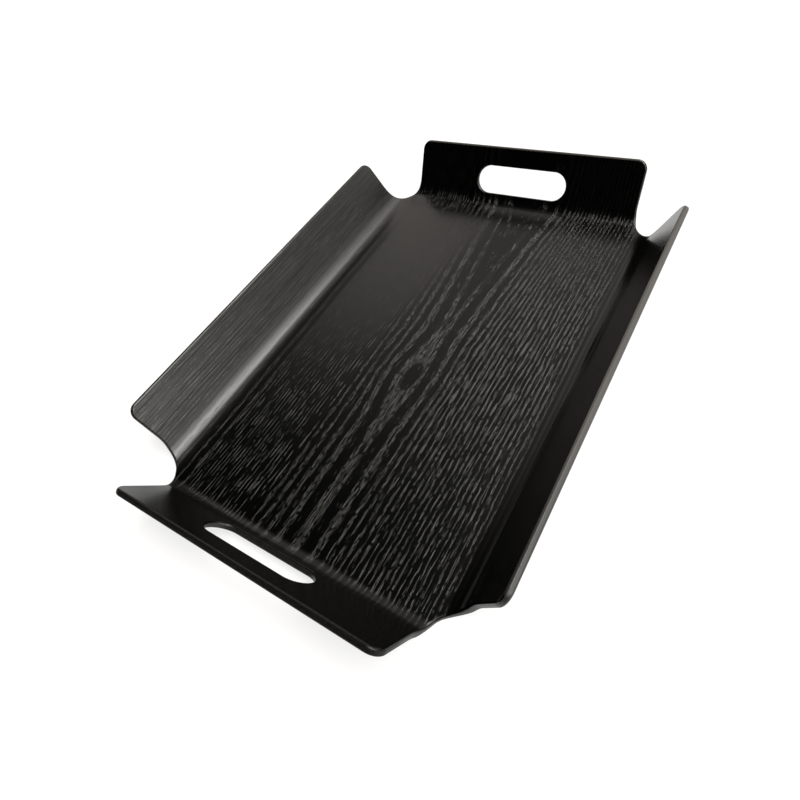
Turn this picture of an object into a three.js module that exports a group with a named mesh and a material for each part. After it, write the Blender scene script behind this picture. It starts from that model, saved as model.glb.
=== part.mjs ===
// Serving tray pressed from one sheet of five-ply wood. The sheet starts as a flat blank with a
// rounded notch cut out of each corner and a stadium hand slot punched near each end. The press
// bends its four sides up into flared walls, which leaves an open notch between neighbouring walls,
// and every edge of the sheet is rounded over. X is the tray's length, Y its width, and Z is up from
// the surface that it stands on.

import * as THREE from 'three';

// Driving dimensions, in millimetres and degrees. Lengths along the sheet are measured on its inner
// face while it is flat: a reach is how far a point lies past the bend line of its wall.
const baseLength = 377.7;
const baseWidth = 239.7;
const endBendRadius = 11.5;
const endWallReach = 56.9;
const endWallAngle = 59.5;
const longBendRadius = 15;
const longWallReach = 58.6;
const longWallAngle = 59.5;
const endWallSetIn = 7.7;
const longWallSetIn = 16.3;
const notchRadius = 35;
const rimCornerRadius = 9;
const edgeRound = 1.8;
const slotLength = 90;
const slotWidth = 25.4;
const slotFlatToBend = 0.1;
const faceVeneerThickness = 1;
const upperCrossPlyThickness = 0.9;
const centrePlyThickness = 1;
const lowerCrossPlyThickness = 0.9;
const backVeneerThickness = 1;
const glueLine = 0.05;

// Facets: steps across each curve, and the least height of a band of the rounded edge.
const bendSteps = 10;
const flankArcSteps = 3;
const rimCornerSteps = 8;
const notchArcSteps = 6;
const slotEndSteps = 16;
const edgeRoundSteps = 3;
const edgeBandHeight = 0.2;

const quarterTurn = Math.PI / 2;

// The plies from the inner face down, with the grain of each one across its neighbour's.
const plies = [
  { name: 'face_veneer', thickness: faceVeneerThickness, colour: 0x1c1b1a, roughness: 0.32 },
  { name: 'upper_cross_ply', thickness: upperCrossPlyThickness, colour: 0x242220, roughness: 0.55 },
  { name: 'centre_ply', thickness: centrePlyThickness, colour: 0x353230, roughness: 0.5 },
  { name: 'lower_cross_ply', thickness: lowerCrossPlyThickness, colour: 0x242220, roughness: 0.55 },
  { name: 'back_veneer', thickness: backVeneerThickness, colour: 0x1c1b1a, roughness: 0.36 },
];
const pliesThickness = plies.reduce((sum, ply) => sum + ply.thickness, 0);
const sheetThickness = pliesThickness + glueLine * (plies.length - 1);

// The notch is one arc, centred off the base's corner, that runs into the flanks of both walls.
const notchCentre = new THREE.Vector2(
  baseLength / 2 - longWallSetIn + notchRadius,
  baseWidth / 2 - endWallSetIn + notchRadius,
);

// A wall ends its bend at bendReach, and the notch's arc meets its straight flank at arcReach.
function makeWall(reach, degrees, bendRadius, arcReach, arcAcross) {
  const angle = THREE.MathUtils.degToRad(degrees);
  return { reach, angle, bendRadius, arcReach, arcAcross, bendReach: bendRadius * angle };
}
const endArcReach = notchCentre.x - baseLength / 2;
const longArcReach = notchCentre.y - baseWidth / 2;
const endWall = makeWall(endWallReach, endWallAngle, endBendRadius, endArcReach, notchCentre.y);
const longWall = makeWall(longWallReach, longWallAngle, longBendRadius, longArcReach, notchCentre.x);

// How far the rounded edge has drawn in from the outline at this depth below the inner face.
function edgeInset(depth) {
  const fromFace = Math.max(Math.min(depth, sheetThickness - depth), 0);
  const rise = Math.max(edgeRound - fromFace, 0);
  return edgeRound - Math.sqrt(edgeRound ** 2 - rise ** 2);
}

// Depths of a ply's levels: its two faces, and the steps of the edge rounds that lie clear of them.
function plyLevels(top, bottom) {
  const steps = [];
  for (let step = 1; step <= edgeRoundSteps; step += 1) {
    const fromFace = edgeRound * (1 - Math.cos(quarterTurn * (step / edgeRoundSteps)));
    steps.push(fromFace, sheetThickness - fromFace);
  }
  const isClear = (depth) => depth - top > edgeBandHeight && bottom - depth > edgeBandHeight;
  return [top, ...steps.filter(isClear).sort((a, b) => a - b), bottom];
}

// Half the wall's width at a reach: on the notch's arc up to arcReach, then on the straight flank.
function halfWidth(wall, reach, inset) {
  const beforeFlank = Math.max(wall.arcReach - reach, 0);
  return wall.arcAcross - Math.sqrt((notchRadius + inset) ** 2 - beforeFlank ** 2);
}

// Reaches of a wall's rows from the end of the rim corner down to the bend line.
function rowReaches(wall) {
  const reaches = [wall.reach - rimCornerRadius];
  const arcSteps = wall.arcReach > wall.bendReach ? flankArcSteps : 0;
  for (let step = arcSteps; step > 0; step -= 1) {
    reaches.push(THREE.MathUtils.lerp(wall.bendReach, wall.arcReach, step / arcSteps));
  }
  for (let step = bendSteps; step >= 0; step -= 1) {
    reaches.push(wall.bendReach * (step / bendSteps));
  }
  return reaches;
}

// One side of a wall from its rim down to its bend line, as (reach, half width) points.
function wallSide(wall, inset) {
  const side = [];
  const cornerReach = wall.reach - rimCornerRadius;
  const cornerHalf = halfWidth(wall, cornerReach, 0) - rimCornerRadius;
  const cornerRadius = rimCornerRadius - inset;
  for (let step = rimCornerSteps; step > 0; step -= 1) {
    const turn = quarterTurn * (step / rimCornerSteps);
    const reach = cornerReach + cornerRadius * Math.sin(turn);
    side.push(new THREE.Vector2(reach, cornerHalf + cornerRadius * Math.cos(turn)));
  }
  rowReaches(wall).forEach((reach) => {
    side.push(new THREE.Vector2(reach, halfWidth(wall, reach, inset)));
  });
  return side;
}

// The notch's arc across the base's corner, between the bend lines of the two walls.
function notchArc(inset) {
  const radius = notchRadius + inset;
  const start = -quarterTurn - Math.asin(Math.max(endWall.arcReach, 0) / radius);
  const end = -Math.PI + Math.asin(Math.max(longWall.arcReach, 0) / radius);
  const arc = [];
  for (let step = 1; step < notchArcSteps; step += 1) {
    const turn = THREE.MathUtils.lerp(start, end, step / notchArcSteps);
    const spoke = new THREE.Vector2(Math.cos(turn), Math.sin(turn));
    arc.push(spoke.multiplyScalar(radius).add(notchCentre));
  }
  return arc;
}

// One corner of the blank, from the end wall's rim round the notch to the long wall's rim.
function cornerCurve(inset) {
  const endSide = wallSide(endWall, inset);
  const longSide = wallSide(longWall, inset).reverse();
  return [
    ...endSide.map((point) => new THREE.Vector2(baseLength / 2 + point.x, point.y)),
    ...notchArc(inset),
    ...longSide.map((point) => new THREE.Vector2(point.y, baseWidth / 2 + point.x)),
  ];
}

// The blank's outline, anticlockwise: the corner's curve mirrored into the four quarters.
function blankOutline(inset) {
  const corner = cornerCurve(inset);
  const mirrored = (x, y) => corner.map((point) => new THREE.Vector2(point.x * x, point.y * y));
  return [
    ...mirrored(1, 1),
    ...mirrored(-1, 1).reverse(),
    ...mirrored(-1, -1),
    ...mirrored(1, -1).reverse(),
  ];
}

// A hand slot in the blank, clockwise: a stadium just above the bend of the end wall on that side.
function slotOutline(side, inset) {
  const endRadius = slotWidth / 2 + inset;
  const endAcross = slotLength / 2 - slotWidth / 2;
  const slotReach = endWall.bendReach + slotFlatToBend + edgeRound + slotWidth / 2;
  const outline = [];
  for (const end of [1, -1]) {
    for (let step = 0; step <= slotEndSteps; step += 1) {
      const turn = Math.PI * (step / slotEndSteps);
      const reach = slotReach + end * endRadius * Math.cos(turn);
      const across = end * (endAcross + endRadius * Math.sin(turn));
      outline.push(new THREE.Vector2(side * (baseLength / 2 + reach), -side * across));
    }
  }
  return outline;
}

// The rings of the blank at an inset: its outline, then the slot at each end.
function blankRings(inset) {
  return [blankOutline(inset), slotOutline(1, inset), slotOutline(-1, inset)];
}

// Triangles that fill a region of the blank, given the numbers of the points round it and its hole.
function fillRegion(points, contour, hole = []) {
  const pick = (numbers) => numbers.map((number) => points[number]);
  const numbers = [...contour, ...hole];
  const holes = hole.length > 0 ? [pick(hole)] : [];
  const triangles = THREE.ShapeUtils.triangulateShape(pick(contour), holes);
  return triangles.map((triangle) => {
    const named = triangle.map((number) => numbers[number]);
    return THREE.ShapeUtils.area(pick(named)) > 0 ? named : named.reverse();
  });
}

// Triangles across the whole blank: the base, the rungs of each bend and the flat of each wall.
function blankFaces(rings) {
  const points = rings.flat();
  const [outline, ...slots] = rings;
  const cornerLength = outline.length / 4;
  const faces = [];
  const base = [];
  [longWall, endWall, longWall, endWall].forEach((wall, corner) => {
    const start = corner * cornerLength;
    const next = ((corner + 1) % 4) * cornerLength;
    const rows = rimCornerSteps + rowReaches(wall).length;
    const flatRows = rows - bendSteps;
    const near = Array.from({ length: rows }, (_, row) => start + cornerLength - 1 - row);
    const far = Array.from({ length: rows }, (_, row) => next + row);
    for (let row = flatRows - 1; row < rows - 1; row += 1) {
      faces.push([near[row + 1], near[row], far[row]], [near[row + 1], far[row], far[row + 1]]);
    }
    const flat = [...near.slice(0, flatRows).reverse(), ...far.slice(0, flatRows)];
    const slotAt = { 1: 1, 3: 0 }[corner];
    const slotStart = outline.length + (slotAt ?? 0) * slots[0].length;
    const slot = slotAt === undefined ? [] : slots[slotAt].map((_, i) => slotStart + i);
    faces.push(...fillRegion(points, flat, slot));
    base.push(near.at(-1));
    base.push(far.at(-1));
    for (let step = 1; step < notchArcSteps; step += 1) {
      base.push(far.at(-1) + step);
    }
  });
  faces.push(...fillRegion(points, base));
  return faces;
}

// How far out of its bend line, and above the base, a wall's point stands once the sheet is pressed.
function bent(wall, reach, depth) {
  const turn = THREE.MathUtils.clamp(reach / wall.bendRadius, 0, wall.angle);
  const straight = Math.max(reach - wall.bendReach, 0);
  const radius = wall.bendRadius + depth;
  return {
    out: radius * Math.sin(turn) + straight * Math.cos(wall.angle) + Math.min(reach, 0),
    rise: radius * (1 - Math.cos(turn)) + straight * Math.sin(wall.angle),
  };
}

// A point of the blank at a depth below its inner face, carried to its place in the pressed tray.
function pressed(point, depth) {
  const end = bent(endWall, Math.abs(point.x) - baseLength / 2, depth);
  const long = bent(longWall, Math.abs(point.y) - baseWidth / 2, depth);
  return new THREE.Vector3(
    Math.sign(point.x) * (baseLength / 2 + end.out),
    Math.sign(point.y) * (baseWidth / 2 + long.out),
    sheetThickness - depth + end.rise + long.rise,
  );
}

// One ply: the blank pressed at each of its levels, with a face on the top and the bottom level and
// a band round every ring between them.
function plyGeometry(top, bottom) {
  const levels = plyLevels(top, bottom);
  const blanks = levels.map((depth) => blankRings(edgeInset(depth)));
  const points = blanks.flatMap((rings, i) => rings.flat().map((point) => pressed(point, levels[i])));
  const levelLength = blanks[0].flat().length;
  const lastLevel = levelLength * (levels.length - 1);
  const triangles = blankFaces(blanks[0]).flat();
  blankFaces(blanks.at(-1)).forEach(([a, b, c]) => {
    triangles.push(lastLevel + c, lastLevel + b, lastLevel + a);
  });
  for (let level = 0; level < levels.length - 1; level += 1) {
    let ringStart = level * levelLength;
    blanks[level].forEach((ring) => {
      ring.forEach((_, i) => {
        const upper = ringStart + i;
        const upperNext = ringStart + ((i + 1) % ring.length);
        const lower = upper + levelLength;
        const lowerNext = upperNext + levelLength;
        triangles.push(lower, lowerNext, upperNext, lower, upperNext, upper);
      });
      ringStart += ring.length;
    });
  }
  const geometry = new THREE.BufferGeometry().setFromPoints(points);
  geometry.setIndex(triangles);
  geometry.computeVertexNormals();
  return geometry;
}

// Assembly: the plies laid from the inner face down, with a glue line below each one.
const tray = new THREE.Group();
tray.name = 'tray';
let plyTop = 0;
plies.forEach((ply) => {
  const plyBottom = plyTop + ply.thickness;
  const finish = { color: ply.colour, roughness: ply.roughness, metalness: 0 };
  const material = new THREE.MeshStandardMaterial(finish);
  const mesh = new THREE.Mesh(plyGeometry(plyTop, plyBottom), material);
  mesh.name = ply.name;
  tray.add(mesh);
  plyTop = plyBottom + glueLine;
});

export default tray;
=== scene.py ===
"""Looks of a serving tray pressed from one sheet of black-stained five-ply wood.

Every ply is cut as a flat blank, pressed to shape and finished around the CAD frame. X is the
tray's length, Y its width, Z is up, and lengths are in metres. The grain of the veneers is drawn
on the flat blank, in millimetres.
"""

import logging
import math
from collections.abc import Callable
from dataclasses import dataclass, field
from enum import Enum
from typing import Any, Union

import bmesh
import bpy
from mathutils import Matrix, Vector


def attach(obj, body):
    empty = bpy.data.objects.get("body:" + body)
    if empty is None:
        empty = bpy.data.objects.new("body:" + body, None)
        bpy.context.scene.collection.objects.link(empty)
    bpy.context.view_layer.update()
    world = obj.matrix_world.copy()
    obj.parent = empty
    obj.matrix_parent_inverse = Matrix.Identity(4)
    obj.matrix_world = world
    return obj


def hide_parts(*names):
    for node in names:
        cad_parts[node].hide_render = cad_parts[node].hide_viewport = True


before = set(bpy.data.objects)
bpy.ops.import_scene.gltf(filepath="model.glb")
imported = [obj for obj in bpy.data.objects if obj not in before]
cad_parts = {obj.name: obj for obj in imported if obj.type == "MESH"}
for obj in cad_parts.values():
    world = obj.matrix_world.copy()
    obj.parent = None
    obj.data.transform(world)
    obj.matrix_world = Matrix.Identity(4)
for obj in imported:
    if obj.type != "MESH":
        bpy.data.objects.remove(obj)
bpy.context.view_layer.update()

LOG = logging.getLogger("tray")
BODY = "root"
BLANK_MAP = "blank"
MILLIMETRES = 1000.0
TINY = 1e-6
CUT_TOLERANCE = TINY / 10
QUARTER_TURN = math.pi / 2

Colour = tuple[float, float, float]
Point = tuple[float, float, float]
Span = tuple[float, float]
Number = Union[float, "Reading"]


class Side(Enum):
    """The tray's walls, each by the direction in which it flares, in degrees round Z."""

    FAR_END = 0.0
    LEFT = 90.0
    NEAR_END = 180.0
    RIGHT = 270.0

    @property
    def outward(self) -> Vector:
        """The level direction from the tray's centre to this wall."""
        turn = math.radians(self.value)
        return Vector((round(math.cos(turn)), round(math.sin(turn)), 0.0))

    @property
    def is_end(self) -> bool:
        """Whether the wall stands at an end of the tray and so holds a hand slot."""
        return self in (Side.FAR_END, Side.NEAR_END)


class Rounding(Enum):
    """Which of a ply's faces the sheet's rounded edge draws in towards."""

    INNER = 1
    NONE = 0
    OUTER = -1


class Reading:
    """A shader value that takes part in Python sums, each of which adds a Math node."""

    def __init__(self, bench: "Bench", socket: bpy.types.NodeSocket) -> None:
        """Wrap an output socket.

        Args:
            bench: The bench whose tree holds the socket.
            socket: The output to read.
        """
        self.bench = bench
        self.socket = socket

    def __add__(self, other: Number) -> "Reading":
        """Sum."""
        return self.bench.maths("ADD", self, other)

    def __radd__(self, other: Number) -> "Reading":
        """Sum with a plain number on the left."""
        return self.bench.maths("ADD", other, self)

    def __sub__(self, other: Number) -> "Reading":
        """Difference."""
        return self.bench.maths("SUBTRACT", self, other)

    def __rsub__(self, other: Number) -> "Reading":
        """Difference from a plain number."""
        return self.bench.maths("SUBTRACT", other, self)

    def __mul__(self, other: Number) -> "Reading":
        """Product."""
        return self.bench.maths("MULTIPLY", self, other)

    def __rmul__(self, other: Number) -> "Reading":
        """Product with a plain number on the left."""
        return self.bench.maths("MULTIPLY", other, self)

    def __truediv__(self, other: Number) -> "Reading":
        """Quotient."""
        return self.bench.maths("DIVIDE", self, other)

    def __neg__(self) -> "Reading":
        """The value with its sign turned."""
        return self.bench.maths("MULTIPLY", self, -1.0)

    def size(self) -> "Reading":
        """The value without its sign."""
        return self.bench.maths("ABSOLUTE", self, 0.0)

    def fraction(self) -> "Reading":
        """What is left of the value past a whole number."""
        return self.bench.maths("FRACT", self, 0.0)

    def above(self, floor: float) -> "Reading":
        """The value, or the floor where that is more."""
        return self.bench.maths("MAXIMUM", self, floor)

    def below(self, ceiling: float) -> "Reading":
        """The value, or the ceiling where that is less."""
        return self.bench.maths("MINIMUM", self, ceiling)

    def natural_power(self) -> "Reading":
        """The number e raised to the value."""
        return self.bench.maths("EXPONENT", self, 0.0)

    def rising(self, low: float, high: float) -> "Reading":
        """A smooth step from 0 at low to 1 at high."""
        settings = {"interpolation_type": "SMOOTHSTEP"}
        inputs = {"Value": self, "From Min": low, "From Max": high}
        return self.bench.node("ShaderNodeMapRange", settings, inputs)

    def falling(self, low: float, high: float) -> "Reading":
        """A smooth step from 1 at low to 0 at high."""
        return 1.0 - self.rising(low, high)


class Bench:
    """The node tree of one finish, with one way to add a node to it."""

    def __init__(self, tree: bpy.types.NodeTree) -> None:
        """Take over a node tree and clear it.

        Args:
            tree: The tree of a material or of the world.
        """
        self.tree = tree
        tree.nodes.clear()

    @classmethod
    def for_material(cls, name: str) -> tuple[bpy.types.Material, "Bench"]:
        """A new material and the bench of its tree."""
        made = bpy.data.materials.new(name)
        made.use_nodes = True
        return made, cls(made.node_tree)

    def node(
        self,
        kind: str,
        settings: dict[str, Any] | None = None,
        inputs: dict[str | int, Any] | None = None,
        output: str | int = 0,
    ) -> Reading:
        """Add a node, set it up and join its inputs.

        Args:
            kind: The node's type name.
            settings: Its own properties, set before its sockets.
            inputs: A value or a Reading for each socket, by name or number.
            output: The output to hand back, by name or number.

        Returns:
            The chosen output, or the first input of a node that has no output.
        """
        made = self.tree.nodes.new(kind)
        for name, value in (settings or {}).items():
            setattr(made, name, value)
        for name, value in (inputs or {}).items():
            if isinstance(value, Reading):
                self.tree.links.new(value.socket, made.inputs[name])
            else:
                made.inputs[name].default_value = value
        has_output = len(made.outputs) > 0
        return Reading(self, made.outputs[output] if has_output else made.inputs[0])

    def maths(self, operation: str, left: Number, right: Number) -> Reading:
        """A Math node on two values."""
        return self.node("ShaderNodeMath", {"operation": operation}, {0: left, 1: right})

    def scaled(self, vector: Reading, scale: Point) -> Reading:
        """A vector with each part multiplied."""
        settings = {"operation": "MULTIPLY"}
        return self.node("ShaderNodeVectorMath", settings, {0: vector, 1: scale})

    def along(self, vector: Reading, way: Point) -> Reading:
        """How far a vector reaches in a direction."""
        settings = {"operation": "DOT_PRODUCT"}
        return self.node("ShaderNodeVectorMath", settings, {0: vector, 1: way}, "Value")

    def parts(self, vector: Reading) -> tuple[Reading, Reading, Reading]:
        """The three parts of a vector."""
        split = self.node("ShaderNodeSeparateXYZ", None, {0: vector}).socket.node
        return tuple(Reading(self, split.outputs[axis]) for axis in "XYZ")

    def joined(self, first: Number, second: Number, third: Number) -> Reading:
        """A vector from three values."""
        return self.node("ShaderNodeCombineXYZ", None, {0: first, 1: second, 2: third})

    def noise(self, vector: Reading, detail: float) -> Reading:
        """A noise value from 0 to 1 with one lump to a unit of the vector."""
        inputs = {"Vector": vector, "Scale": 1.0, "Detail": detail}
        return self.node("ShaderNodeTexNoise", None, inputs, "Fac")

    def blend(self, share: Number, first: Any, second: Any) -> Reading:
        """A colour between two, by a share from 0 to 1."""
        plain = [(*c, 1.0) if isinstance(c, tuple) else c for c in (first, second)]
        inputs = {0: share, 6: plain[0], 7: plain[1]}
        return self.node("ShaderNodeMix", {"data_type": "RGBA"}, inputs, 2)

    def coat(self, inputs: dict[str, Any], bareness: Reading, bare_reflection: float) -> None:
        """End the tree in a glossy surface that is bare, and so reflects less, in places.

        Args:
            inputs: The sockets that the glossy and the bare shader share.
            bareness: How bare the surface is, from 0 to 1.
            bare_reflection: How much a bare surface reflects.
        """
        glossy = self.node("ShaderNodeBsdfPrincipled", None, inputs)
        bare_inputs = {**inputs, "Specular IOR Level": bare_reflection}
        bare = self.node("ShaderNodeBsdfPrincipled", None, bare_inputs)
        shader = self.node("ShaderNodeMixShader", None, {0: bareness, 1: glossy, 2: bare})
        self.node("ShaderNodeOutputMaterial", None, {"Surface": shader})


@dataclass(frozen=True)
class SheetShape:
    """Sizes of the sheet, measured along its inner face while it is flat."""

    base_length: float = 0.3777
    base_width: float = 0.2397
    end_bend_radius: float = 0.0115
    end_wall_reach: float = 0.0569
    long_bend_radius: float = 0.015
    long_wall_reach: float = 0.0586
    wall_angle: float = math.radians(59.5)
    end_wall_set_in: float = 0.0077
    long_wall_set_in: float = 0.0163
    notch_radius: float = 0.035
    rim_corner_radius: float = 0.009
    edge_round: float = 0.0018
    slot_length: float = 0.090
    slot_width: float = 0.0254
    slot_flat_to_bend: float = 0.0001
    thickness: float = 0.005

    @property
    def slot_place(self) -> float:
        """How far from the tray's centre the middle of a hand slot lies on the flat sheet."""
        gap = self.slot_flat_to_bend + self.edge_round + self.slot_width / 2
        return self.base_length / 2 + self.bend_reach(Side.FAR_END) + gap

    def bend_reach(self, side: Side) -> float:
        """How far past its bend line a wall stays curved."""
        return (self.end_bend_radius if side.is_end else self.long_bend_radius) * self.wall_angle

    def rim(self, side: Side) -> float:
        """How far from the tray's centre a wall's rim lies on the flat sheet."""
        reach = self.end_wall_reach if side.is_end else self.long_wall_reach
        return self.bend_line(side) + reach

    def bend_line(self, side: Side) -> float:
        """How far from the tray's centre a wall starts to bend."""
        return (self.base_length if side.is_end else self.base_width) / 2

    def core_half(self) -> Span:
        """Half the length and width that the two pairs of walls leave between their flanks."""
        half_length = self.base_length / 2 - self.long_wall_set_in
        return half_length, self.base_width / 2 - self.end_wall_set_in

    def round_angle(self, depth: float) -> float:
        """The turn of the rounded edge at a depth: 0 on its flat, a quarter turn at a face."""
        from_face = min(depth, self.thickness - depth)
        return math.asin(max(self.edge_round - from_face, 0.0) / self.edge_round)

    def inset(self, depth: float) -> float:
        """How far the rounded edge has drawn in from the outline at a depth."""
        return self.edge_round * (1.0 - math.cos(self.round_angle(depth)))


@dataclass(frozen=True)
class Mottle:
    """A noise over the flat blank.

    Attributes:
        length: How long its lumps are along the grain, in millimetres.
        width: How wide they are across it, in millimetres.
        detail: How much finer noise is added to them.
        layer: Keeps it apart from a veneer's other noises.
    """

    length: float
    width: float
    detail: float
    layer: float

    def read(
        self,
        along: Reading,
        across: Reading,
        seed: float,
        shift: Number = 0.0,
        widening: Number = 0.0,
    ) -> Reading:
        """Lay the noise over the blank.

        Args:
            along: The place along the grain.
            across: The place across the grain.
            seed: Tells one veneer's noise from another's.
            shift: Tells one part of a veneer from another.
            widening: What is added to the width of the lumps.

        Returns:
            A value from 0 to 1.
        """
        place = (along / self.length, across / (self.width + widening), seed + self.layer + shift)
        return along.bench.noise(along.bench.joined(*place), self.detail)

    def sway(self, along: Reading, across: Reading, seed: float) -> Reading:
        """The noise about nought, from -0.5 to 0.5."""
        return self.read(along, across, seed) - 0.5


@dataclass(frozen=True)
class Rings:
    """The growth rings at a point of a veneer.

    Attributes:
        off: How far across the grain the point lies from the eye, in millimetres.
        upper: Whether it lies on the left wall's side of the eye, from 0 to 1.
        ring: How far out through the rings it lies, in millimetres.
        heart: Whether it lies in the heart of the figure, from 0 to 1.
        porous: How porous the wood is, from 0 to 1.
        dull_lines: Whether it lies on a long dull line, from 0 to 1.
    """

    off: Reading
    upper: Reading
    ring: Reading
    heart: Reading
    porous: Reading
    dull_lines: Reading


@dataclass(frozen=True)
class VeneerFigure:
    """The growth rings of a veneer, in millimetres of the flat blank."""

    seed: float = 0.0
    has_eye: bool = True
    drift: Mottle = Mottle(length=170.0, width=45.0, detail=1.0, layer=0.0)
    drift_push: float = 4.0
    ripple: Mottle = Mottle(length=80.0, width=14.0, detail=0.0, layer=1.0)
    ripple_push: float = 1.5
    upper_edge: Span = (-3.0, 3.0)
    eye: Span = (-33.0, -10.5)
    eye_half: Span = (15.0, 5.8)
    eye_edge: Span = (0.6, 1.3)
    swell_below: float = 6.0
    swell_above: float = 10.5
    swell_half: Span = (32.0, 27.0)
    heart_edge: Span = (3.5, 5.5)
    heart_fading: Span = (50.0, 130.0)
    heart_loss: float = 0.35
    fork_opening: Span = (44.0, 56.0)
    fork_edge: Span = (-1.5, 1.0)
    fork_slope: float = 0.05
    fork_spread: float = 0.0003
    fork_reach: float = 65.0
    inner_fork_opening: Span = (185.0, 189.0)
    inner_fork_edge: Span = (1.2, 2.6)
    inner_fork_slope: float = 0.36
    first_ring: float = 9.0
    first_ring_edge: Span = (0.0, 2.0)
    ring_rate: float = 0.0616
    ring_crowding: float = 0.00141
    crowded_at: float = 52.0
    fine_above: float = 46.0
    fine_rate: float = 0.12
    close_below: float = 24.0
    close_rate: float = 0.05
    jitter: Mottle = Mottle(length=140.0, width=18.0, detail=2.0, layer=3.0)
    jitter_turns: float = 0.6
    jitter_rise: Span = (3.0, 20.0)
    early_wood_edge: Span = (0.38, 0.78)
    inner_rings: Span = (6.0, 26.0)
    inner_rings_gain: float = 0.08
    pale_lines: Span = (104.0, 112.5)
    pale_line_half: float = 0.9
    dull_lines: Span = (108.2, 117.5)
    dull_line_half: float = 1.6
    line_softness: float = 1.4
    line_wave: float = 2.0
    line_end: Span = (90.0, 170.0)

    def rings(self, along: Reading, across: Reading) -> Rings:
        """Draw the growth rings.

        Args:
            along: The place along the grain.
            across: The place across the grain.

        Returns:
            What the rings are like there.
        """
        drift = self.drift.sway(along, across, self.seed)
        ripple = self.ripple.sway(along, across, self.seed)
        past = along - self.eye[0]
        off = across - self.eye[1] + self.drift_push * drift + self.ripple_push * ripple
        upper = off.rising(*self.upper_edge)
        ring = off.size()
        if self.has_eye:
            ring = ring - self.swell(past, off, upper) - self.fork(past, off)
        heart = ring.falling(*self.heart_edge)
        if self.has_eye:
            heart = self.open_heart(heart, past, off, ring)
        wavy = across + self.line_wave * ripple
        dull_lines = self.lines(along, wavy, self.dull_lines, self.dull_line_half)
        pale_lines = self.lines(along, wavy, self.pale_lines, self.pale_line_half)
        porous = heart + self.early_wood(along, off, upper, ring) + pale_lines
        porous = porous.below(1.0) * (1.0 - dull_lines)
        return Rings(off, upper, ring, heart, porous, dull_lines)

    def swell(self, past: Reading, off: Reading, upper: Reading) -> Reading:
        """How far the eye pushes the rings aside, more on its upper side than below."""
        reach = past * past / self.swell_half[0] ** 2 + off * off / self.swell_half[1] ** 2
        height = self.swell_below + (self.swell_above - self.swell_below) * upper
        return height * (-reach).natural_power()

    def fork(self, past: Reading, off: Reading) -> Reading:
        """How far the rings have parted beyond the eye."""
        start = (past - self.fork_opening[0]).above(0.0)
        near = off / self.fork_reach
        parted = start * (self.fork_slope + self.fork_spread * start)
        return parted * (-(near * near)).natural_power()

    def open_heart(self, heart: Reading, past: Reading, off: Reading, ring: Reading) -> Reading:
        """The heart with the eye cut out, the fork opened and an inner fork drawn in it.

        Args:
            heart: The whole heart, from 0 to 1.
            past: How far along the grain the point lies past the eye.
            off: How far across the grain it lies from the eye.
            ring: How far out through the rings it lies.

        Returns:
            What is left of the heart, from 0 to 1.
        """
        opened = past.rising(*self.fork_opening) * ring.falling(*self.fork_edge)
        split = (past - self.inner_fork_opening[0]).above(0.0) * self.inner_fork_slope
        inner = (off.size() - split).size().falling(*self.inner_fork_edge)
        inner = inner * past.rising(*self.inner_fork_opening)
        core = past * past / self.eye_half[0] ** 2 + off * off / self.eye_half[1] ** 2
        fading = 1.0 - self.heart_loss * past.rising(*self.heart_fading)
        return (heart * (1.0 - opened) + inner) * core.rising(*self.eye_edge) * fading

    def early_wood(self, along: Reading, off: Reading, upper: Reading, ring: Reading) -> Reading:
        """How far a point lies in a ring's open early wood.

        Args:
            along: The place along the grain.
            off: How far across the grain the point lies from the eye.
            upper: Whether it lies on the left wall's side of the eye.
            ring: How far out through the rings it lies.

        Returns:
            A value from 0, in dense late wood, to 1.
        """
        beyond = (ring - self.first_ring).above(0.0)
        jitter = self.jitter.sway(along, off, self.seed)
        close = beyond.below(self.crowded_at)
        last_rate = self.ring_rate + 2.0 * self.ring_crowding * self.crowded_at
        turns = close * (self.ring_rate + self.ring_crowding * close)
        turns = turns + (beyond - close) * last_rate
        turns = turns + self.jitter_turns * jitter * beyond.rising(*self.jitter_rise)
        turns = turns + upper * (ring - self.fine_above).above(0.0) * self.fine_rate
        turns = turns + (1.0 - upper) * (ring - self.close_below).above(0.0) * self.close_rate
        swing = 1.0 - (2.0 * turns.fraction() - 1.0).size()
        swing = swing + self.inner_rings_gain * beyond.falling(*self.inner_rings)
        return swing.rising(*self.early_wood_edge) * beyond.rising(*self.first_ring_edge)

    def lines(self, along: Reading, across: Reading, places: Span, half: float) -> Reading:
        """Two long lines beside the left bend, from 0 to 1, that die out towards the far end."""
        edge = (half, half + self.line_softness)
        first, second = ((across - place).size().falling(*edge) for place in places)
        return (first + second) * along.falling(*self.line_end)


@dataclass(frozen=True)
class Zones:
    """Parts of the base where the pores look different, each from 0 to 1.

    Attributes:
        calm: The smooth patch at the far left.
        fine: The fine rings towards the left wall.
        dense: The dense rings towards the right wall.
        faded: The far part of the dense rings, where they have less contrast.
    """

    calm: Reading
    fine: Reading
    dense: Reading
    faded: Reading


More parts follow.
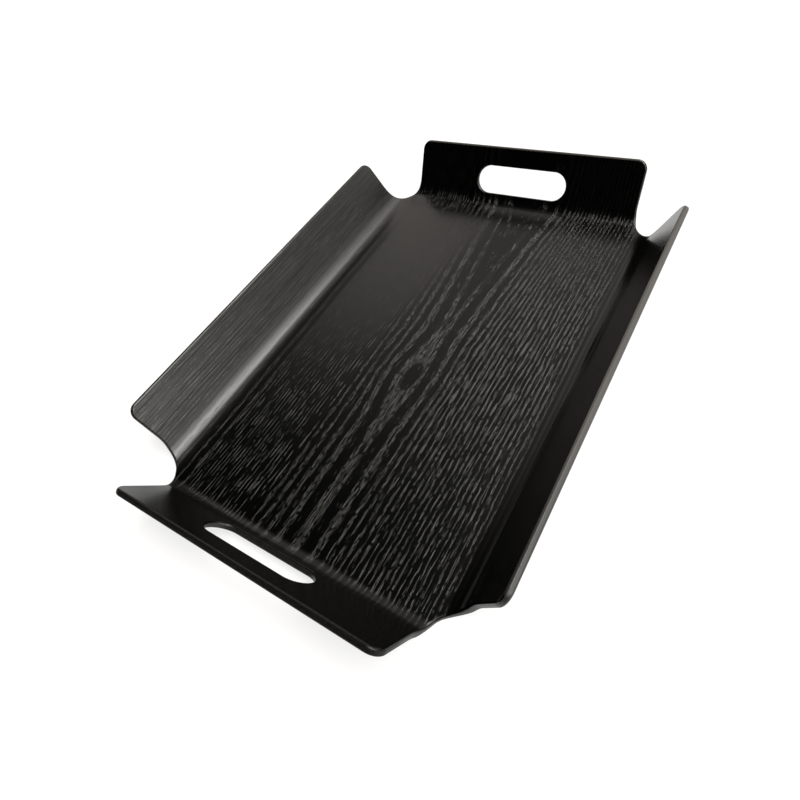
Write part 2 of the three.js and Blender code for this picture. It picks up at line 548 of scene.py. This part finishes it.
@dataclass(frozen=True)
class OpenPores:
    """The open pores of a veneer, in millimetres of the flat blank."""

    fibres: Mottle = Mottle(length=16.0, width=0.42, detail=0.0, layer=7.0)
    breaks: Mottle = Mottle(length=4.0, width=0.9, detail=0.0, layer=11.0)
    side_shift: float = 10.0
    threshold: float = 0.72
    porous_gain: float = 0.225
    fibre_edge: Span = (0.0, 0.1)
    break_edge: Span = (0.34, 0.5)
    near_edge: Span = (-200.0, -190.0)
    right_edge: Span = (-125.0, -113.0)
    far_edge: Span = (193.0, 203.0)
    far_loss: float = 0.8
    calm_across: Span = (20.0, 50.0)
    calm_across_lean: float = 0.12
    calm_along: Span = (-80.0, 80.0)
    calm_along_lean: float = 0.6
    calm_end: Span = (165.0, 180.0)
    calm_loss: float = 0.6
    fine_rings: Span = (44.0, 54.0)
    fine_widening: float = 0.1
    fine_loss: float = 0.02
    fine_joining: float = 0.06
    dense_rings: Span = (16.0, 36.0)
    dense_along: Span = (-130.0, -40.0)
    dense_gain: float = 0.045
    dense_joining: float = 0.05
    faded_along: Span = (20.0, 150.0)
    faded_loss: float = 0.35

    def zones(self, along: Reading, across: Reading, rings: Rings) -> Zones:
        """Mark out the parts of the base where the pores look different.

        Args:
            along: The place along the grain.
            across: The place across the grain.
            rings: The rings there.

        Returns:
            How far the place lies in each part.
        """
        calm = (across + self.calm_across_lean * along).rising(*self.calm_across)
        calm = calm * (along + self.calm_along_lean * across).rising(*self.calm_along)
        calm = calm * along.falling(*self.calm_end)
        fine = rings.upper * rings.ring.rising(*self.fine_rings)
        dense = (1.0 - rings.upper) * rings.ring.rising(*self.dense_rings)
        dense = dense * along.rising(*self.dense_along)
        return Zones(calm, fine, dense, dense * along.rising(*self.faded_along))

    def shown(
        self, along: Reading, across: Reading, rings: Rings, zones: Zones, seed: float
    ) -> Reading:
        """Draw the pores along the rings.

        Args:
            along: The place along the grain.
            across: The place across the grain.
            rings: The rings there.
            zones: The parts of the base that the place lies in.
            seed: Tells one veneer's pores from another's.

        Returns:
            How much of a pore shows, from 0 to 1.
        """
        thread = rings.ring + rings.heart * (rings.off - rings.ring)
        side = self.side_shift * rings.upper
        fibre = self.fibres.read(along, thread, seed, side, self.fine_widening * zones.fine)
        broken = self.breaks.read(along, thread, seed, side)
        fibre = fibre - self.threshold + self.porous_gain * rings.porous
        fibre = fibre - self.fine_loss * zones.fine + self.dense_gain * zones.dense
        broken = broken + self.fine_joining * zones.fine + self.dense_joining * zones.dense
        on_base = along.rising(*self.near_edge) * across.rising(*self.right_edge)
        on_base = on_base * (1.0 - self.far_loss * along.rising(*self.far_edge))
        pores = fibre.rising(*self.fibre_edge) * broken.rising(*self.break_edge) * on_base
        pores = pores * (1.0 - self.calm_loss * zones.calm)
        return pores * (1.0 - self.faded_loss * zones.faded)


@dataclass(frozen=True)
class SoakedLacquer:
    """Where the lacquer has soaked into a veneer, in millimetres of the flat blank."""

    base_loss: float = 0.72
    ring_cover: float = 0.4
    faded_cover: float = 0.2
    calm_loss: float = 0.34
    left_edge: Span = (112.0, 121.0)
    right_edge: Span = (-144.0, -134.0)
    line_loss: float = 0.68
    near_wall: Span = (-206.0, -194.0)
    near_wall_loss: float = 0.6
    left_wall: Span = (134.0, 146.0)
    bands: Mottle = Mottle(length=260.0, width=9.0, detail=1.0, layer=15.0)
    pale_band_edge: Span = (0.38, 0.6)
    dull_band_edge: Span = (0.36, 0.58)
    band_loss: float = 0.4
    streaks: Mottle = Mottle(length=45.0, width=1.1, detail=2.0, layer=5.0)
    streak_least: float = 0.35
    streak_edge: Span = (0.25, 0.55)
    streak_loss: float = 0.45

    def base(
        self, along: Reading, across: Reading, rings: Rings, zones: Zones, pores: Reading
    ) -> Reading:
        """How far the lacquer has soaked away on the base and the near wall.

        Args:
            along: The place along the grain.
            across: The place across the grain.
            rings: The rings there.
            zones: The parts of the base that the place lies in.
            pores: How much of a pore shows there.

        Returns:
            A value from 0 to 1.
        """
        covered = pores + self.ring_cover * rings.porous * (1.0 - pores)
        dull = self.base_loss * (1.0 - covered) * (1.0 - zones.calm)
        dull = dull * (1.0 - self.faded_cover * zones.faded) + self.calm_loss * zones.calm
        dull = dull * across.falling(*self.left_edge) * across.rising(*self.right_edge)
        soaked = self.line_loss * rings.dull_lines + dull * (1.0 - rings.dull_lines)
        return soaked + self.near_wall_loss * along.falling(*self.near_wall) * (1.0 - soaked)

    def wall(self, along: Reading, across: Reading, seed: float) -> tuple[Reading, Reading]:
        """The streaks of the left wall.

        Args:
            along: The place along the grain.
            across: The place across the grain.
            seed: Tells one veneer's streaks from another's.

        Returns:
            How far the lacquer has soaked away there and the height of the streaks, from 0 to 1.
        """
        band = self.bands.read(along, across, seed)
        streak = self.streaks.read(along, across, seed)
        strength = (1.0 - self.streak_least) * band.rising(*self.pale_band_edge)
        streak = streak * (self.streak_least + strength)
        soaked = self.streak_loss * streak.rising(*self.streak_edge)
        return soaked + self.band_loss * band.falling(*self.dull_band_edge), streak


@dataclass(frozen=True)
class PaintedRimHighlights:
    """Where a veneer's rims are painted paler as a painted highlight, in millimetres of the flat
    blank.
    """

    # Painted highlight: this paler colour stands in for light caught on the rims, strongest on
    # the far and right rims.
    tone: Colour = (0.06, 0.057, 0.053)
    far_rim: Span = (243.9, 244.7)
    near_rim: Span = (-244.7, -243.9)
    left_rim: Span = (176.6, 177.4)
    slight: float = 0.1
    right_rim: Span = (-177.4, -176.6)
    right_rise: Span = (-150.0, -40.0)
    right_least: float = 0.35

    def share(self, along: Reading, across: Reading) -> Reading:
        """How far a place carries the painted rim highlight, from 0 to 1."""
        slightly = across.rising(*self.left_rim) + along.falling(*self.near_rim)
        right = self.right_least + (1.0 - self.right_least) * along.rising(*self.right_rise)
        highlit = along.rising(*self.far_rim) + self.slight * slightly
        return (highlit + across.falling(*self.right_rim) * right).below(1.0)


@dataclass(frozen=True)
class StainedVeneer:
    """Open-pored veneer under black stain and a satin lacquer."""

    name: str
    figure: VeneerFigure
    open_pores: OpenPores = OpenPores()
    lacquer: SoakedLacquer = SoakedLacquer()
    rim_highlights: PaintedRimHighlights = PaintedRimHighlights()
    stain: Colour = (0.0006, 0.0006, 0.0006)
    # Grey of the pores: partly their own colour, partly a painted glint of light on their walls.
    pore_and_glint: Colour = (0.035, 0.0341, 0.0326)
    lacquer_roughness: float = 0.20
    pore_roughness: float = 0.26
    bend_roughening: float = 0.14
    bend_start: Span = (112.0, 121.0)
    bend_end: Span = (136.0, 146.0)
    pore_depth: float = 0.00006
    ring_share: float = 0.15
    streak_share: float = 2.5
    refraction: float = 1.65
    bare_reflection: float = 0.1

    def material(self) -> bpy.types.Material:
        """Make the finish.

        Returns:
            A material that reads the piece's own map of the flat blank.
        """
        made, bench = Bench.for_material(self.name)
        blank = bench.node("ShaderNodeUVMap", {"uv_map": BLANK_MAP})
        along, across, _ = bench.parts(bench.scaled(blank, (MILLIMETRES,) * 3))
        seed = self.figure.seed
        rings = self.figure.rings(along, across)
        zones = self.open_pores.zones(along, across, rings)
        pores = self.open_pores.shown(along, across, rings, zones, seed)
        wall = across.rising(*self.lacquer.left_wall)
        wall_soaked, streak = self.lacquer.wall(along, across, seed)
        soaked = self.lacquer.base(along, across, rings, zones, pores) * (1.0 - wall)
        # The pores' grey, which includes a painted glint, is blended into the stain here.
        stained = bench.blend(pores, self.stain, self.pore_and_glint)
        bend = across.rising(*self.bend_start) * across.falling(*self.bend_end)
        rough = self.lacquer_roughness + self.bend_roughening * bend
        rough = rough + pores * (self.pore_roughness - self.lacquer_roughness)
        height = self.streak_share * (streak * wall) - pores - self.ring_share * rings.porous
        bump = {"Strength": 1.0, "Distance": self.pore_depth, "Height": height}
        inputs = {
            # The rims' painted highlight is blended into the base colour here.
            "Base Color": bench.blend(self.rim_highlights.share(along, across), stained, self.rim_highlights.tone),
            "Roughness": rough,
            "Normal": bench.node("ShaderNodeBump", None, bump),
            "IOR": self.refraction,
        }
        bench.coat(inputs, soaked + wall_soaked * wall, self.bare_reflection)
        return made


@dataclass(frozen=True)
class StainedPlyEdge:
    """The sawn and sanded edge of an inner ply under the same stain."""

    name: str
    stain: Colour
    streak: Colour
    roughness: float
    streaks_to_a_metre: Point = (900.0, 900.0, 2600.0)
    streak_detail: float = 3.0
    streak_edge: Span = (0.4, 0.7)
    streak_roughening: float = 0.15
    streak_depth: float = 0.00005
    streak_strength: float = 0.4
    # Painted highlight: the ply edges on the right rim are painted paler, more so towards the far
    # end.
    rim_highlight_colour: Colour = (0.075, 0.071, 0.066)
    rim_highlight_share: float = 0.55
    rim_highlight_right: Span = (-0.152, -0.142)
    rim_highlight_rise: Span = (-0.15, -0.02)
    dry_share: float = 0.8
    dry_left: Span = (0.14, 0.15)
    dry_near: Span = (-0.215, -0.205)
    dry_reflection: float = 0.08
    refraction: float = 1.6

    def material(self) -> bpy.types.Material:
        """Make the finish.

        Returns:
            A material that reads Object coordinates.
        """
        made, bench = Bench.for_material(self.name)
        place = bench.node("ShaderNodeTexCoord", None, None, "Object")
        along, across, _ = bench.parts(place)
        streaks = bench.noise(bench.scaled(place, self.streaks_to_a_metre), self.streak_detail)
        share = streaks.rising(*self.streak_edge)
        stained = bench.blend(share, self.stain, self.streak)
        # Painted highlight on the right rim, blended into the base colour below.
        highlit = self.rim_highlight_share * across.falling(*self.rim_highlight_right)
        highlit = highlit * along.rising(*self.rim_highlight_rise)
        dry = (across.rising(*self.dry_left) + along.falling(*self.dry_near)).below(1.0)
        strength, depth = self.streak_strength, self.streak_depth
        bump = {"Strength": strength, "Distance": depth, "Height": streaks}
        inputs = {
            "Base Color": bench.blend(highlit, stained, self.rim_highlight_colour),
            "Roughness": self.roughness + self.streak_roughening * share,
            "Normal": bench.node("ShaderNodeBump", None, bump),
            "IOR": self.refraction,
        }
        bench.coat(inputs, self.dry_share * dry, self.dry_reflection)
        return made


Finish = Union[StainedVeneer, StainedPlyEdge]


@dataclass
class PressedPly:
    """One ply of the sheet: a flat blank with rounded edges, pressed into the tray."""

    name: str
    node: str
    slot: str
    top: float
    bottom: float
    finish: Finish
    sheet: SheetShape = field(default_factory=SheetShape)
    notch_steps: int = 18
    rim_corner_steps: int = 14
    slot_steps: int = 66
    bend_steps: int = 30
    round_step: float = math.radians(8.0)
    sharp_angle: float = math.radians(24.0)
    piece: bpy.types.Object | None = None

    @property
    def rounding(self) -> Rounding:
        """The face towards which this ply's edge is rounded over."""
        middle = (self.top + self.bottom) / 2 - self.sheet.thickness / 2
        if abs(middle) < TINY:
            return Rounding.NONE
        return Rounding.INNER if middle < 0 else Rounding.OUTER

    def build(self) -> bpy.types.Object:
        """Cut, thicken and press the ply.

        Returns:
            The finished piece, at the origin.
        """
        widest = self.top if self.rounding is Rounding.OUTER else self.bottom
        self.cut_outline(widest)
        self.cut_slots(widest)
        self.thicken(widest)
        self.score_bends()
        bpy.ops.object.mode_set(mode="OBJECT")
        self.map_blank()
        for side in Side:
            self.press(side)
        self.smooth()
        return self.piece

    def select(self, kind: str, test: Callable[[Any], bool]) -> None:
        """Select only the parts of the mesh being edited that pass a test.

        Args:
            kind: "verts" or "edges".
            test: Says whether a vertex or edge is wanted.
        """
        modes = {"verts": "VERT", "edges": "EDGE"}
        bpy.ops.mesh.select_mode(type=modes[kind])
        bpy.ops.mesh.select_all(action="DESELECT")
        mesh = bmesh.from_edit_mesh(self.piece.data)
        for part in getattr(mesh, kind):
            if test(part):
                part.select_set(True)
        bmesh.update_edit_mesh(self.piece.data)

    def cut_outline(self, depth: float) -> None:
        """Lay out the blank at a depth: a cross with rounded inner and outer corners.

        Args:
            depth: How far below the sheet's inner face the blank lies.
        """
        sheet = self.sheet
        inset = sheet.inset(depth)
        half_x, half_y = (half - inset for half in sheet.core_half())
        bpy.ops.object.select_all(action="DESELECT")
        bpy.ops.mesh.primitive_plane_add(size=2.0)
        self.piece = bpy.context.object
        self.piece.name = self.name
        self.piece.data.name = self.name
        bpy.ops.object.mode_set(mode="EDIT")
        bpy.ops.transform.resize(value=(half_x, half_y, 1.0), center_override=(0.0, 0.0, 0.0))
        bpy.ops.transform.translate(value=(0.0, 0.0, sheet.thickness - depth))
        for side in Side:
            half = half_x if side.is_end else half_y
            out = side.outward
            self.select(
                "edges",
                lambda edge: all(self.on_core(v, out, half, half_x, half_y) for v in edge.verts),
            )
            push = out * (sheet.rim(side) - inset - half)
            bpy.ops.mesh.extrude_edges_move(TRANSFORM_OT_translate={"value": push})
        bpy.ops.mesh.select_all(action="SELECT")
        bpy.ops.mesh.dissolve_faces()
        self.select("verts", lambda v: abs(abs(v.co.x) + abs(v.co.y) - half_x - half_y) < TINY)
        self.bevel_corners(sheet.notch_radius + inset, self.notch_steps)
        end_rim, long_rim = (sheet.rim(side) - inset for side in (Side.FAR_END, Side.LEFT))
        self.select(
            "verts",
            lambda v: abs(abs(v.co.x) - end_rim) < TINY or abs(abs(v.co.y) - long_rim) < TINY,
        )
        self.bevel_corners(sheet.rim_corner_radius - inset, self.rim_corner_steps)

    @staticmethod
    def on_core(
        vertex: bmesh.types.BMVert, out: Vector, half: float, half_x: float, half_y: float
    ) -> bool:
        """Whether a vertex is a corner of the core, on the side that faces out."""
        is_corner = abs(vertex.co.x) < half_x + TINY and abs(vertex.co.y) < half_y + TINY
        return is_corner and abs(vertex.co @ out - half) < TINY

    @staticmethod
    def bevel_corners(radius: float, steps: int) -> None:
        """Round the selected corners of the blank to a radius."""
        bpy.ops.mesh.bevel(
            offset_type="OFFSET",
            offset=radius,
            segments=steps,
            profile=0.5,
            affect="VERTICES",
            clamp_overlap=False,
        )

    def cut_slots(self, depth: float) -> None:
        """Punch a stadium hand slot near each end of the blank and fill the rest.

        Args:
            depth: How far below the sheet's inner face the blank lies.
        """
        sheet = self.sheet
        radius = sheet.slot_width / 2 + sheet.inset(depth)
        reach = radius + TINY
        stretch = (sheet.slot_length - sheet.slot_width) / 2
        bpy.ops.mesh.select_mode(type="FACE")
        bpy.ops.mesh.select_all(action="SELECT")
        bpy.ops.mesh.delete(type="ONLY_FACE")
        for way in (1.0, -1.0):
            place = (way * sheet.slot_place, 0.0, sheet.thickness - depth)
            bpy.ops.mesh.primitive_circle_add(
                vertices=self.slot_steps, radius=radius, location=place
            )
            for half in (1.0, -1.0):
                self.select(
                    "verts",
                    lambda v: abs(v.co.x - place[0]) < reach and 0.0 < half * v.co.y < reach,
                )
                bpy.ops.transform.translate(value=(0.0, half * stretch, 0.0))
        bpy.ops.mesh.select_mode(type="EDGE")
        bpy.ops.mesh.select_all(action="SELECT")
        bpy.ops.mesh.fill(use_beauty=True)

    def thicken(self, widest: float) -> None:
        """Raise the blank to the ply's thickness, drawing its edge in along the round.

        Args:
            widest: The depth at which the blank was laid out.
        """
        sheet = self.sheet
        radius = sheet.edge_round
        up = -1.0 if self.rounding is Rounding.OUTER else 1.0
        end = self.bottom if self.rounding is Rounding.OUTER else self.top
        start_angle, end_angle = sheet.round_angle(widest), sheet.round_angle(end)
        straight = abs(end - widest) - radius * (math.sin(end_angle) - math.sin(start_angle))
        turn = end_angle - start_angle
        steps = math.ceil(turn / self.round_step)
        angles = [start_angle + turn * step / max(steps, 1) for step in range(steps + 1)]
        self.turn_faces(up)
        if straight > TINY:
            push = (0.0, 0.0, up * straight)
            bpy.ops.mesh.extrude_region_move(TRANSFORM_OT_translate={"value": push})
        for low, high in zip(angles, angles[1:]):
            bpy.ops.mesh.inset(
                thickness=radius * (math.cos(low) - math.cos(high)),
                depth=radius * (math.sin(high) - math.sin(low)),
                use_boundary=True,
                use_even_offset=True,
                use_relative_offset=False,
            )
        bpy.ops.mesh.select_mode(type="EDGE")
        if straight <= TINY:  # a blank that was only drawn in is still open where it was laid out
            bpy.ops.mesh.select_all(action="DESELECT")
            bpy.ops.mesh.select_non_manifold(
                extend=False, use_wire=False, use_multi_face=False, use_verts=False
            )
            bpy.ops.mesh.fill(use_beauty=True)
        bpy.ops.mesh.select_all(action="SELECT")
        bpy.ops.mesh.normals_make_consistent(inside=False)

    def turn_faces(self, up: float) -> None:
        """Turn the faces of the open blank to look up, or down where up is negative."""
        bpy.ops.mesh.select_mode(type="FACE")
        bpy.ops.mesh.select_all(action="SELECT")
        bpy.ops.mesh.normals_make_consistent(inside=False)
        mesh = bmesh.from_edit_mesh(self.piece.data)
        mesh.faces.ensure_lookup_table()
        if mesh.faces[0].normal.z * up < 0.0:
            bpy.ops.mesh.flip_normals()

    def score_bends(self) -> None:
        """Cut the blank across at every step of its four bends."""
        sheet = self.sheet
        for side in Side:
            for step in range(self.bend_steps + 1):
                reach = sheet.bend_reach(side) * step / self.bend_steps
                bpy.ops.mesh.select_all(action="SELECT")
                bpy.ops.mesh.bisect(
                    plane_co=side.outward * (sheet.bend_line(side) + reach),
                    plane_no=side.outward,
                    threshold=CUT_TOLERANCE,
                )

    def map_blank(self) -> None:
        """Keep each corner's place on the flat blank as the piece's own map."""
        mesh = self.piece.data
        for layer in list(mesh.uv_layers):
            mesh.uv_layers.remove(layer)
        blank = mesh.uv_layers.new(name=BLANK_MAP)
        for loop in mesh.loops:
            blank.data[loop.index].uv = mesh.vertices[loop.vertex_index].co.xy

    def press(self, side: Side) -> None:
        """Bend one wall of the blank up.

        Args:
            side: The wall to bend.
        """
        sheet = self.sheet
        line = sheet.bend_line(side)
        reaches = [vertex.co @ side.outward - line for vertex in self.piece.data.vertices]
        low, high = min(reaches), max(reaches)
        place = side.outward * line + Vector((0.0, 0.0, sheet.thickness))
        turn = (QUARTER_TURN, 0.0, math.radians(side.value))
        bpy.ops.object.empty_add(type="PLAIN_AXES", location=place, rotation=turn)
        former = bpy.context.object
        bpy.ops.object.select_all(action="DESELECT")
        self.piece.select_set(True)
        bpy.context.view_layer.objects.active = self.piece
        bpy.ops.object.modifier_add(type="SIMPLE_DEFORM")
        bend = self.piece.modifiers[-1]
        bend.deform_method = "BEND"
        bend.deform_axis = "Z"
        bend.origin = former
        bend.angle = sheet.wall_angle
        bend.limits = (-low / (high - low), (sheet.bend_reach(side) - low) / (high - low))
        bpy.ops.object.modifier_apply(modifier=bend.name)
        bpy.data.objects.remove(former)

    def smooth(self) -> None:
        """Shade the ply smooth across its bends and rounds, with its flats kept flat."""
        bpy.ops.object.shade_smooth_by_angle(angle=self.sharp_angle)
        bpy.ops.object.modifier_add(type="WEIGHTED_NORMAL")
        weighted = self.piece.modifiers[-1]
        weighted.keep_sharp = True
        bpy.ops.object.modifier_apply(modifier=weighted.name)

    def dress(self) -> None:
        """Give the ply its finish and tie it to the frame."""
        self.piece.data.materials.clear()
        self.piece.data.materials.append(self.finish.material())
        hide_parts(self.node)
        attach(self.piece, BODY)


@dataclass
class Tray:
    """The five plies from the inner face down."""

    sheet: SheetShape = field(default_factory=SheetShape)
    veneer: float = 0.001
    cross_ply: float = 0.0009
    centre_ply: float = 0.001
    glue_line: float = 0.00005
    face_figure: VeneerFigure = VeneerFigure()
    back_figure: VeneerFigure = VeneerFigure(seed=41.0, has_eye=False)

    def plies(self) -> list[PressedPly]:
        """Lay the plies up.

        Returns:
            The plies in order, each with its depths and finish.
        """
        face = StainedVeneer("black_face_veneer", self.face_figure)
        back = StainedVeneer("black_back_veneer", self.back_figure)
        cross = StainedPlyEdge(
            "stained_cross_edge",
            stain=(0.002, 0.0019, 0.0018),
            streak=(0.008, 0.0075, 0.007),
            roughness=0.42,
        )
        centre = StainedPlyEdge(
            "stained_centre_edge",
            stain=(0.004, 0.0038, 0.0036),
            streak=(0.014, 0.013, 0.012),
            roughness=0.36,
        )
        layers = [
            ("face_veneer", "black_veneer", self.veneer, face),
            ("upper_cross_ply", "stained_cross_ply", self.cross_ply, cross),
            ("centre_ply", "stained_centre_ply", self.centre_ply, centre),
            ("lower_cross_ply", "stained_cross_ply", self.cross_ply, cross),
            ("back_veneer", "black_veneer", self.veneer, back),
        ]
        laid = []
        top = 0.0
        for node, slot, thickness, finish in layers:
            bottom = top + thickness
            laid.append(
                PressedPly(f"pressed_{node}", node, slot, top, bottom, finish, self.sheet)
            )
            top += thickness + self.glue_line
        return laid

    def build(self) -> None:
        """Build and dress every ply."""
        for ply in self.plies():
            piece = ply.build()
            ply.dress()
            LOG.info("%s: %d faces", piece.name, len(piece.data.polygons))


@dataclass(frozen=True)
class Glow:
    """A soft bright patch of the room, brightest in its middle, by its angles in degrees."""

    azimuth: float
    elevation: float
    brightness: float
    tightness: float
    colour: Colour

    def light(self, bench: Bench, way: Reading) -> Reading:
        """Shine the patch into the room.

        Args:
            bench: The bench of the world's tree.
            way: The direction looked in.

        Returns:
            The patch's background shader.
        """
        turn, rise = math.radians(self.azimuth), math.radians(self.elevation)
        level = math.cos(rise)
        middle = (math.cos(turn) * level, math.sin(turn) * level, math.sin(rise))
        share = (self.tightness * (bench.along(way, middle) - 1.0)).natural_power()
        inputs = {"Color": (*self.colour, 1.0), "Strength": self.brightness * share}
        return bench.node("ShaderNodeBackground", None, inputs)


@dataclass(frozen=True)
class Studio:
    """Floor, lights, surroundings and camera."""

    floor_size: float = 12.0
    floor_colour: Colour = (0.3, 0.3, 0.3)
    floor_roughness: float = 0.9
    floor_glow: float = 0.74
    dim: float = 0.008
    haze: float = 0.62
    haze_edge: Span = (0.22, 0.68)
    haze_colour: Colour = (1.0, 0.94, 0.87)
    lamp: Glow = Glow(-68.0, 66.0, brightness=11.0, tightness=33.0, colour=(1.0, 0.98, 0.94))
    fill: Glow = Glow(-19.0, 66.0, brightness=8.8, tightness=84.0, colour=(1.0, 0.98, 0.94))
    window: Glow = Glow(-90.0, 41.5, brightness=5.0, tightness=12.8, colour=(1.0, 0.97, 0.92))
    corner: Glow = Glow(42.0, 34.0, brightness=0.31, tightness=30.0, colour=(1.0, 0.92, 0.84))
    side: Glow = Glow(-29.0, 22.0, brightness=0.8, tightness=20.0, colour=(1.0, 0.95, 0.89))
    camera_place: Point = (-0.23869797, -0.20454382, 0.3294955)
    camera_turn: Point = (37.380306, 12.103881, -58.989946)
    camera_lens: float = 24.186087
    camera_sensor: float = 36.0
    camera_nearest: float = 0.01

    def build(self) -> None:
        """Set the stage."""
        self.lay_floor()
        self.light_room()
        self.place_camera()
        bpy.context.scene.view_settings.view_transform = "Standard"

    @staticmethod
    def seen(bench: Bench) -> Reading:
        """Whether a ray is the camera's, or a shiny or clear surface's, as 0 or 1."""
        path = bench.node("ShaderNodeLightPath").socket.node
        kinds = ("Camera", "Glossy", "Transmission")
        camera, glossy, clear = (Reading(bench, path.outputs[f"Is {kind} Ray"]) for kind in kinds)
        return (camera + glossy + clear).rising(0.0, 1.0)

    def lay_floor(self) -> None:
        """Lay a white floor that keeps the tray's shadow."""
        bpy.ops.object.select_all(action="DESELECT")
        bpy.ops.mesh.primitive_plane_add(size=self.floor_size)
        floor = bpy.context.object
        floor.name = "floor"
        made, bench = Bench.for_material("white_floor")
        glow = bench.blend(self.seen(bench), (0.0, 0.0, 0.0), (self.floor_glow,) * 3)
        inputs = {
            "Base Color": (*self.floor_colour, 1.0),
            "Roughness": self.floor_roughness,
            "Specular IOR Level": 0.0,
            "Emission Color": glow,
            "Emission Strength": 1.0,
        }
        shader = bench.node("ShaderNodeBsdfPrincipled", None, inputs)
        bench.node("ShaderNodeOutputMaterial", None, {"Surface": shader})
        floor.data.materials.append(made)

    def light_room(self) -> None:
        """Light a dim room by a haze beyond the far end and soft glows; the camera sees white."""
        world = bpy.data.worlds.new("studio")
        world.use_nodes = True
        bpy.context.scene.world = world
        bench = Bench(world.node_tree)
        way = bench.node("ShaderNodeTexCoord", None, None, "Generated")
        ahead, _, _ = bench.parts(way)
        level = self.dim + self.haze * ahead.rising(*self.haze_edge)
        inputs = {"Color": (*self.haze_colour, 1.0), "Strength": level}
        room = bench.node("ShaderNodeBackground", None, inputs)
        for glow in (self.lamp, self.fill, self.window, self.corner, self.side):
            room = bench.node("ShaderNodeAddShader", None, {0: room, 1: glow.light(bench, way)})
        camera = bench.node("ShaderNodeLightPath", None, None, "Is Camera Ray")
        inputs = {"Color": (1.0, 1.0, 1.0, 1.0), "Strength": 1.0}
        white = bench.node("ShaderNodeBackground", None, inputs)
        shown = bench.node("ShaderNodeMixShader", None, {0: camera, 1: room, 2: white})
        bench.node("ShaderNodeOutputWorld", None, {"Surface": shown})

    def place_camera(self) -> None:
        """Stand the camera at the photograph's view."""
        turn = [math.radians(angle) for angle in self.camera_turn]
        bpy.ops.object.camera_add(location=self.camera_place, rotation=turn)
        camera = bpy.context.object
        camera.name = "photo_camera"
        camera.data.sensor_width = self.camera_sensor
        camera.data.lens = self.camera_lens
        camera.data.clip_start = self.camera_nearest
        bpy.context.scene.camera = camera


def main() -> None:
    """Build the tray and its stage in order."""
    logging.basicConfig(level=logging.INFO, format="%(name)s %(message)s")
    Tray().build()
    Studio().build()


if __name__ == "__main__":
    main()
